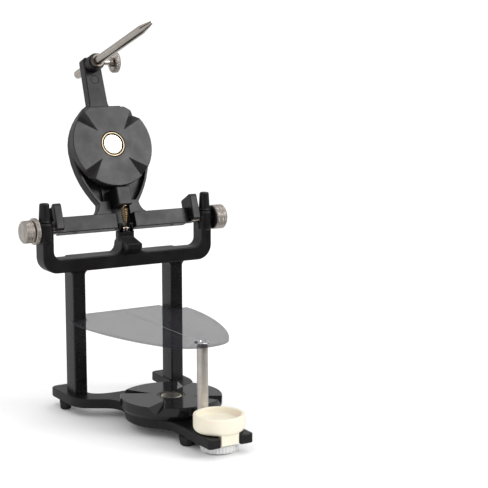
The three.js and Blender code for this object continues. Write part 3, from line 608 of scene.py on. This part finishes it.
def spun(name, profile, place, sides, relief=None, sharp=SHARP_ANGLE):
    """A surface of revolution about local Z, placed by a matrix.

    The profile holds (radius, height) or (radius, height, True); relief(angle, height) is the
    depth taken off the radius at points marked True. It starts and ends on the axis, or closes.
    """
    on_axis = 1e-7
    work = bmesh.new()
    rings = []
    for point in profile:
        radius, height = point[:2]
        if radius < on_axis:
            rings.append([work.verts.new((0, 0, height))])
            continue
        cut = len(point) > 2 and relief is not None
        ring = []
        for i in range(sides):
            angle = 2 * pi * i / sides
            r = radius - (relief(angle, height) if cut else 0.0)
            ring.append(work.verts.new((r * cos(angle), r * sin(angle), height)))
        rings.append(ring)
    starts_on_axis = len(rings[0]) == 1
    pairs = list(zip(rings, rings[1:])) + ([] if starts_on_axis else [(rings[-1], rings[0])])
    for low, high in pairs:
        for i in range(sides):
            j = (i + 1) % sides
            corners = [low[i % len(low)], low[j % len(low)], high[j % len(high)], high[i % len(high)]]
            unique = list(dict.fromkeys(corners))
            work.faces.new(unique)
    bmesh.ops.recalc_face_normals(work, faces=work.faces)
    mark_sharp(work, sharp)
    piece = built(name, work)
    piece.data.transform(place)
    piece.data.update()
    return piece


def arc(centre_r, centre_z, radius, start, end, steps):
    """Points of an arc in a profile, its angles in degrees from the +radius direction."""
    turns = [radians(start + (end - start) * i / steps) for i in range(steps + 1)]
    return [(centre_r + radius * cos(t), centre_z + radius * sin(t)) for t in turns]


def diamonds(teeth, pitch, depth):
    """Relief of a diamond knurl: two crossing families of V cuts."""
    def relief(angle, height):
        turn = angle / (2 * pi) * teeth
        climb = height / pitch
        first = abs(2 * ((turn + climb) % 1) - 1)
        second = abs(2 * ((turn - climb) % 1) - 1)
        return depth * (1 - min(first, second))
    return relief


def ribs(count, depth):
    """Relief of straight rounded ribs."""
    def relief(angle, _height):
        return depth * (1 - abs(cos(angle * count / 2)))
    return relief


def band(radius, start, end, rows):
    """Profile points of a cut band, marked for the relief."""
    return [(radius, start + (end - start) * i / rows, True) for i in range(rows + 1)]


def prism(name, outline, bottom, top):
    """A straight extrusion of an outline along Z."""
    work = bmesh.new()
    lower = [work.verts.new((x, y, bottom)) for x, y in outline]
    upper = [work.verts.new((x, y, top)) for x, y in outline]
    work.faces.new(lower)
    work.faces.new(upper)
    for i in range(len(outline)):
        j = (i + 1) % len(outline)
        work.faces.new((lower[i], lower[j], upper[j], upper[i]))
    bmesh.ops.recalc_face_normals(work, faces=work.faces)
    for face in work.faces:
        face.smooth = True
    return built(name, work)


def tube(name, path, radius):
    """A wire of round section along a list of points."""
    work = bmesh.new()
    rings = []
    normal = X_AXIS.copy()
    turns = [2 * pi * k / WIRE_SIDES for k in range(WIRE_SIDES)]
    for i, point in enumerate(path):
        ahead = path[min(i + 1, len(path) - 1)] - path[max(i - 1, 0)]
        tangent = ahead.normalized()
        normal = (normal - tangent * normal.dot(tangent)).normalized()
        side = tangent.cross(normal)
        rings.append([work.verts.new(point + radius * (normal * cos(t) + side * sin(t))) for t in turns])
    for low, high in zip(rings, rings[1:]):
        for k in range(WIRE_SIDES):
            n = (k + 1) % WIRE_SIDES
            work.faces.new((low[k], low[n], high[n], high[k]))
    work.faces.new(list(reversed(rings[0])))
    work.faces.new(rings[-1])
    bmesh.ops.recalc_face_normals(work, faces=work.faces)
    for face in work.faces:
        face.smooth = len(face.verts) == 4
    return built(name, work)


# ------------------------------------------------------------------ condylar knobs
def knob_profile(radius, length):
    """A cap knob from the floor of its bore, round its inner face at height 0, to its dished end."""
    cut_end = length - KNOB_CHAMFER
    face = radius - KNOB_CHAMFER
    dish = face - KNOB_RIM
    return [
        (0, KNOB_SEAT), (SHAFT_BORE, KNOB_SEAT), (SHAFT_BORE, 0.0), (radius - KNOB_LIP, 0.0),
        *band(radius, KNOB_LIP, cut_end, KNOB_ROWS),
        (radius - KNOB_NECK, cut_end + EASE),
        (face, length - EASE), (face - 2 * EASE, length),
        (dish, length), (dish - 2 * KNOB_DISH, length - KNOB_DISH),
        (0, length - KNOB_DISH),
    ]


def add_knobs():
    for node, sign, teeth in KNOB_TEETH:
        low, high = box_of(node)
        inner = low.x if sign > 0 else high.x
        place = facing((sign, 0, 0), Vector((inner, HINGE.y, HINGE.z)))
        profile = knob_profile((high.z - low.z) / 2, high.x - low.x)
        knurl = diamonds(teeth, KNOB_PITCH, KNOB_CUT)
        knob = spun("fine_" + node, profile, place, teeth * FACETS_PER_TOOTH, knurl)
        adopt(knob, node, nickel("nickel_" + node, X_AXIS, HINGE))


def add_lock_ring():
    low, high = box_of("left_lock_ring")
    width = high.x - low.x
    profile = [
        (SHAFT_BORE, 0), (RING_RADIUS - RING_LIP, 0),
        *band(RING_RADIUS, RING_EDGE, width - RING_EDGE, RING_ROWS),
        (RING_RADIUS - RING_LIP, width), (SHAFT_BORE, width),
    ]
    place = facing((-1, 0, 0), Vector((high.x, HINGE.y, HINGE.z)))
    knurl = diamonds(RING_TEETH, RING_PITCH, RING_CUT)
    ring = spun("fine_left_lock_ring", profile, place, RING_TEETH * FACETS_PER_TOOTH, knurl)
    adopt(ring, "left_lock_ring", nickel("nickel_left_ring", X_AXIS, HINGE))


# ------------------------------------------------------------------ pin clamp
def add_thumbscrew():
    low, high = box_of("thumbscrew_wheel")
    centre = (low + high) / 2
    width = high.x - low.x
    radius = (high.z - low.z) / 2
    inner_floor, inner_lip = (radius * part for part in WHEEL_INNER_DISH)
    outer_floor, outer_lip = (radius * part for part in WHEEL_OUTER_DISH)
    profile = [
        (0, WHEEL_RIM), (inner_floor, WHEEL_RIM), (inner_lip, 0.0), (radius - WHEEL_RIM, 0.0),
        *band(radius, WHEEL_RIM, width - WHEEL_RIM, WHEEL_ROWS),
        (radius - WHEEL_RIM, width), (outer_lip, width), (outer_floor, width - WHEEL_RIM),
        (0, width - WHEEL_RIM),
    ]
    place = facing((1, 0, 0), Vector((low.x, centre.y, centre.z)))
    knurl = diamonds(WHEEL_TEETH, WHEEL_PITCH, WHEEL_CUT)
    paint = nickel("nickel_thumb", X_AXIS, centre, rough=0.22)
    wheel = spun("fine_thumbscrew_wheel", profile, place, WHEEL_TEETH * FACETS_PER_TOOTH, knurl)
    adopt(wheel, "thumbscrew_wheel", paint)
    refined("thumbscrew_shank", SHANK_EDGE, paint)


# ------------------------------------------------------------------ retaining spring
def spring_path():
    """Hook round the anchor pin, a straight tail, the coil and the top hook."""
    path = []
    for i in range(HOOK_STEPS + 1):
        t = radians(HOOK_START + HOOK_SWEEP * i / HOOK_STEPS)
        path.append(Vector((0.0, -HOOK * cos(t), -HOOK * sin(t))))
    path += SPRING_TAIL
    steps = int(COIL_TURNS * COIL_STEPS)
    for i in range(steps + 1):
        t = 2 * pi * COIL_TURNS * i / steps
        r = COIL * (COIL_NARROW + (1 - COIL_NARROW) * min(1.0, i / (steps * COIL_TAPER)))
        height = COIL_START + (COIL_END - COIL_START) * i / steps
        path.append(Vector((r * cos(t), r * sin(t), height)))
    path += SPRING_TOP
    return path


def add_spring():
    tail = middle("spring_eye_screw") - SPRING_FOOT
    lean = Matrix.Rotation(-atan2(tail.y, tail.z), 4, "X")
    place = Matrix.Translation(SPRING_FOOT) @ lean
    spring = tube("fine_retaining_spring", [place @ point for point in spring_path()], WIRE)
    paint = bare_metal("brass_spring", BRASS, rough=0.25, axis=Z_AXIS, centre=SPRING_FOOT)
    adopt(spring, "retaining_spring", paint)


# ------------------------------------------------------------------ incisal table
def add_table():
    low, high = box_of("incisal_table")
    centre = (low + high) / 2
    radius = (high.x - low.x) / 2
    rim = high.z
    floor = rim - CUP_RECESS
    inner = radius - CUP_WALL
    profile = [
        (0, CUP_BOTTOM),
        *arc(radius - CUP_BELLY, CUP_BOTTOM + CUP_BELLY, CUP_BELLY, -90, 0, BELLY_STEPS),
        *arc(radius - LIP_OUTER, rim - LIP_OUTER, LIP_OUTER, 0, 90, LIP_STEPS),
        *arc(radius - LIP_WIDTH, rim - LIP_INNER, LIP_INNER, 90, 180, LIP_STEPS),
        *arc(inner - CUP_DRAFT - CUP_FILLET, floor + CUP_FILLET, CUP_FILLET, 0, -90, FILLET_STEPS),
        (0, floor),
    ]
    place = Matrix.Translation((centre.x, centre.y, 0))
    adopt(spun("fine_incisal_table", profile, place, CUP_SIDES), "incisal_table")
    corners = [(-KEY_HALF, -KEY_FRONT), (KEY_HALF, -KEY_FRONT), (KEY_HALF, KEY_BACK), (-KEY_HALF, KEY_BACK)]
    outline = [(centre.x + x, centre.y + y) for x, y in corners]
    key = prism("fine_table_key", outline, low.z, CUP_BOTTOM + MM)
    soften(key, KEY_EDGE, KEY_EDGE_STEPS)
    attach(key, "incisal_table", PAINT["ivory_plastic"])


def add_nut():
    low, high = box_of("table_nut")
    centre = (low + high) / 2
    radius = (high.x - low.x) / 2
    shoulder = radius - NUT_EDGE
    profile = [
        (NUT_BORE, low.z), (shoulder - NUT_LAND, low.z), (shoulder, low.z + NUT_STEP),
        *band(radius, low.z + NUT_EDGE, high.z - NUT_EDGE, NUT_ROWS),
        (shoulder, high.z - NUT_STEP), (shoulder - NUT_LAND, high.z), (NUT_BORE, high.z),
    ]
    place = Matrix.Translation((centre.x, centre.y, 0))
    sides = NUT_RIBS * NUT_FACETS_PER_RIB
    nut = spun("fine_table_nut", profile, place, sides, ribs(NUT_RIBS, NUT_CUT), NUT_SHARP_ANGLE)
    adopt(nut, "table_nut")


# ------------------------------------------------------------------ occlusal plate
def curve_points(start, control_a, control_b, end, steps):
    """Points of a cubic curve, without its first."""
    points = []
    for i in range(1, steps + 1):
        t = i / steps
        weights = ((1 - t) ** 3, 3 * t * (1 - t) ** 2, 3 * t * t * (1 - t), t ** 3)
        points.append(tuple(
            sum(w * p[k] for w, p in zip(weights, (start, control_a, control_b, end))) for k in (0, 1)
        ))
    return points


def plate_outline(rear, nose):
    """Right half of the plate, in metres, from the middle of its tongue to its nose."""
    def before_hinge(point):
        return point[0], HINGE.y - point[1]

    def behind_nose(point):
        return point[0], nose + point[1]

    post_low, _post_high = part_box("right_post")
    shoulder_y = post_low[1] - PLATE_GAP
    tongue_x = post_low[0] - HINGE.x - PLATE_GAP
    turn = before_hinge(PLATE_TURN)
    tip = before_hinge(PLATE_TIP)
    points = [
        (0, rear), (tongue_x - PLATE_CORNER, rear), (tongue_x, rear - PLATE_CORNER),
        (tongue_x, shoulder_y), (PLATE_SHOULDER - PLATE_CORNER, shoulder_y), (PLATE_SHOULDER, shoulder_y),
        (PLATE_SHOULDER_END, shoulder_y - PLATE_CORNER), turn,
    ]
    points += curve_points(turn, *map(before_hinge, PLATE_SIDE), tip, PLATE_SIDE_STEPS)
    points += curve_points(tip, *map(behind_nose, PLATE_NOSE), (0, nose), PLATE_NOSE_STEPS)
    return points


def add_plate():
    low, high = box_of("occlusal_plate")
    right = plate_outline(high.y, low.y)
    left = [(-x, y) for x, y in reversed(right) if x > 0]
    outline = [(x + HINGE.x, y) for x, y in right + left]
    plate = prism("fine_occlusal_plate", outline, low.z, high.z)
    soften(plate, PLATE_EDGE, PLATE_EDGE_STEPS, PLATE_SHARP_ANGLE)
    adopt(plate, "occlusal_plate")


def add_guide_line():
    """The pale line down the middle of the plate's top."""
    _low, high = box_of("occlusal_plate")
    front = middle("plate_screw").y + LINE_FRONT
    back = high.y - LINE_BACK
    corners = ((-LINE_HALF, front), (LINE_HALF, front), (LINE_HALF, back), (-LINE_HALF, back))
    outline = [(HINGE.x + x, y) for x, y in corners]
    line = prism("plate_guide_line", outline, high.z - LINE_DEPTH, high.z + LINE_PROUD)
    attach(line, "occlusal_plate", moulded("guide_white", *LINE_WHITE, rough=0.5))


def add_plate_screw():
    """The socket screw that holds the plate to its support."""
    low, high = box_of("plate_screw")
    centre = (low + high) / 2
    head = (high.x - low.x) / 2
    seat = box_of("occlusal_plate")[1].z
    crown = high.z
    profile = [
        (0, low.z), (SCREW_SHANK, low.z), (SCREW_SHANK, seat), (head, seat),
        (head, seat + SCREW_LIP), (head * HEAD_SHOULDER, seat + 0.5 * (crown - seat)),
        (head * HEAD_CROWN, crown), (head * SOCKET_LIP, crown),
        (head * SOCKET_TOP, crown - SCREW_SOCKET), (head * SOCKET_FLOOR, seat + SCREW_SOCKET),
        (0, seat + SCREW_SOCKET),
    ]
    screw = spun("fine_plate_screw", profile, Matrix.Translation((centre.x, centre.y, 0)), SCREW_SIDES)
    adopt(screw, "plate_screw", bare_metal("chrome_screw", CHROME, rough=0.08, axis=Z_AXIS, centre=centre))


# ------------------------------------------------------------------ everything else
def add_castings():
    for node in CASTINGS:
        refined(node)
    refined("upper_frame", NO_BEVEL)
    refined("lower_mounting_disc", NO_BEVEL, angle=DISC_SHARP_ANGLE)
    # the upper disc takes the paler enamel, its lighter colour painted light
    refined("upper_mounting_disc", NO_BEVEL, UPPER_DISC_PAINTED_LIGHT_ENAMEL, DISC_SHARP_ANGLE)
    for node in LOCK_PINS:
        refined(node, LOCK_PIN_EDGE)
    for node, slot in SLOT_OF.items():
        if slot == "rubber":
            refined(node, FOOT_EDGE)


def add_screws():
    """The condyle shafts, the screws and the spring's anchor pin."""
    for side in ("left", "right"):
        refined(side + "_condyle_shaft", FINE_EDGE, nickel("nickel_shaft_" + side, X_AXIS, HINGE))
        for kind, screw, axis in SIDE_SCREWS:
            node = side + screw
            refined(node, FINE_EDGE, nickel(f"nickel_{kind}_{side}", axis, middle(node)))
    for level, axis in (("lower", Z_AXIS), ("upper", FACE_AXIS)):
        node = level + "_disc_screw"
        refined(node, FINE_EDGE, nickel(f"nickel_{level}_screw", axis, middle(node)))
    refined("spring_anchor_pin", FINE_EDGE, nickel("nickel_anchor", X_AXIS, SPRING_FOOT))


def add_rods():
    """The plate's support, the table's stud, the incisal pin and its collar, and the spring's eye."""
    centre = middle("occlusal_post")
    support = bare_metal("pale_support", PALE_STEEL, rough=0.5, axis=Z_AXIS, centre=centre)
    refined("occlusal_post", SUPPORT_EDGE, support)
    refined("table_stud", FINE_EDGE, nickel("nickel_stud", Z_AXIS, middle("table_stud")))
    centre = middle("pin_hub")
    refined("incisal_pin", NO_BEVEL, nickel("nickel_pin", PIN_AXIS, centre, rough=0.2))
    collar = bare_metal("dark_collar", DARK_STEEL, rough=0.3, axis=PIN_AXIS, centre=centre)
    refined("pin_collar", FINE_EDGE, collar)
    centre = middle("spring_eye_screw")
    eye = bare_metal("brass_eye", BRASS, rough=0.22, axis=FACE_AXIS, centre=centre)
    refined("spring_eye_screw", EYE_EDGE, eye)


def add_magnets():
    for level, axis in (("lower", Z_AXIS), ("upper", FACE_AXIS)):
        centre = middle(level + "_magnet")
        ring = bare_metal(level + "_ring_brass", RING_BRASS, rough=0.2, axis=axis, centre=centre)
        plate = bare_metal(
            level + "_magnet_plate", MAGNET_PLATE, rough=0.18, axis=axis, centre=centre,
            tint=0.94, depth=0.002, spread=0.03,
        )
        refined(level + "_magnet_ring", FINE_EDGE, ring)
        refined(level + "_magnet", FINE_EDGE, plate)


# ------------------------------------------------------------------ studio
def add_floor():
    bpy.ops.mesh.primitive_plane_add(size=FLOOR_SIZE, location=(0, 0, 0))
    floor = bpy.context.object
    floor.name = "floor"
    floor.data.materials.append(paper("floor_paper", *FLOOR_PAPER, FLOOR_ROUGHNESS, *FLOOR_PATCHES))


def softbox(name, place, target, width, height, radiance):
    """A rectangular light that faces a point; its radiance is the brightness seen in a mirror."""
    data = bpy.data.lights.new(name, "AREA")
    data.shape = "RECTANGLE"
    data.size = width
    data.size_y = height
    data.energy = radiance * pi * width * height
    lamp = bpy.data.objects.new(name, data)
    lamp.location = place
    lamp.rotation_euler = (Vector(place) - Vector(target)).to_track_quat("Z", "Y").to_euler()
    lamp.visible_camera = False
    bpy.context.scene.collection.objects.link(lamp)


def card(name, corners, shade):
    """A flat card that shows only in reflections, as a flag beside a studio set does."""
    work = bmesh.new()
    work.faces.new([work.verts.new(corner) for corner in corners])
    piece = built(name, work)
    pale = shade * CARD_MOTTLE
    piece.data.materials.append(paper(
        name + "_paper", (shade, shade, shade), (pale, pale, pale), CARD_ROUGHNESS, *CARD_PATCHES
    ))
    piece.visible_camera = False
    piece.visible_diffuse = False
    piece.visible_shadow = False
    piece.visible_transmission = False


def add_cards():
    flag_foot = [(*FLAG_LEFT, 0), (*FLAG_RIGHT, 0)]
    flag_top = [(*FLAG_RIGHT, FLAG_HEIGHT), (*FLAG_LEFT, FLAG_HEIGHT)]
    card("front_card", flag_foot + flag_top, FLAG_SHADE)
    reach = GROUND_REACH
    ground = [(-reach, -reach), (reach, -reach), (reach, reach), (-reach, reach)]
    card("floor_card", [(x, y, CARD_LIFT) for x, y in ground], GROUND_SHADE)
    apron = (FLAG_LEFT, FLAG_RIGHT, APRON_RIGHT, APRON_LEFT)
    card("front_floor_card", [(x, y, 2 * CARD_LIFT) for x, y in apron], APRON_SHADE)


def add_room():
    """A white room that mirror-like surfaces see dimmer than the floor does."""
    world = bpy.data.worlds.new("studio")
    world.use_nodes = True
    tree = world.node_tree
    background = tree.nodes["Background"]
    background.inputs["Color"].default_value = (1.0, 1.0, 1.0, 1.0)
    path = tree.nodes.new("ShaderNodeLightPath")
    dimmer = tree.nodes.new("ShaderNodeMapRange")
    dimmer.inputs["To Min"].default_value = ROOM_LIGHT
    dimmer.inputs["To Max"].default_value = ROOM_IN_REFLECTIONS
    tree.links.new(path.outputs["Is Glossy Ray"], dimmer.inputs["Value"])
    tree.links.new(dimmer.outputs["Result"], background.inputs["Strength"])
    bpy.context.scene.world = world


def add_sun():
    sun = bpy.data.objects.new("sun", bpy.data.lights.new("sun", "SUN"))
    sun.data.energy = SUN_STRENGTH
    sun.data.angle = SUN_SPREAD
    sun.rotation_euler = SUN_FROM.to_track_quat("Z", "Y").to_euler()
    bpy.context.scene.collection.objects.link(sun)


def add_camera():
    back = Vector((
        sin(CAMERA_TURN) * cos(CAMERA_PITCH), -cos(CAMERA_TURN) * cos(CAMERA_PITCH), sin(CAMERA_PITCH)
    ))
    right = Vector((cos(CAMERA_TURN), sin(CAMERA_TURN), 0))
    up = back.cross(right)
    data = bpy.data.cameras.new("camera")
    data.lens = LENS_MM
    data.sensor_width = SENSOR_MM
    camera = bpy.data.objects.new("camera", data)
    foot = Vector((HINGE.x, HINGE.y, 0))
    turn = Matrix((right, up, back)).transposed().to_4x4()
    camera.matrix_world = Matrix.Translation(foot + CAMERA_FROM_HINGE_FOOT) @ turn
    bpy.context.scene.collection.objects.link(camera)
    bpy.context.scene.camera = camera


add_castings()
add_screws()
add_rods()
add_magnets()
add_knobs()
add_lock_ring()
add_thumbscrew()
add_spring()
add_table()
add_nut()
add_plate()
add_guide_line()
add_plate_screw()
add_floor()
add_room()
add_sun()
softbox("front_right", SOFTBOX_PLACE, SOFTBOX_TARGET, *SOFTBOX_SIZE, SOFTBOX_RADIANCE)
add_cards()
bpy.context.scene.view_settings.view_transform = "Standard"
add_camera()
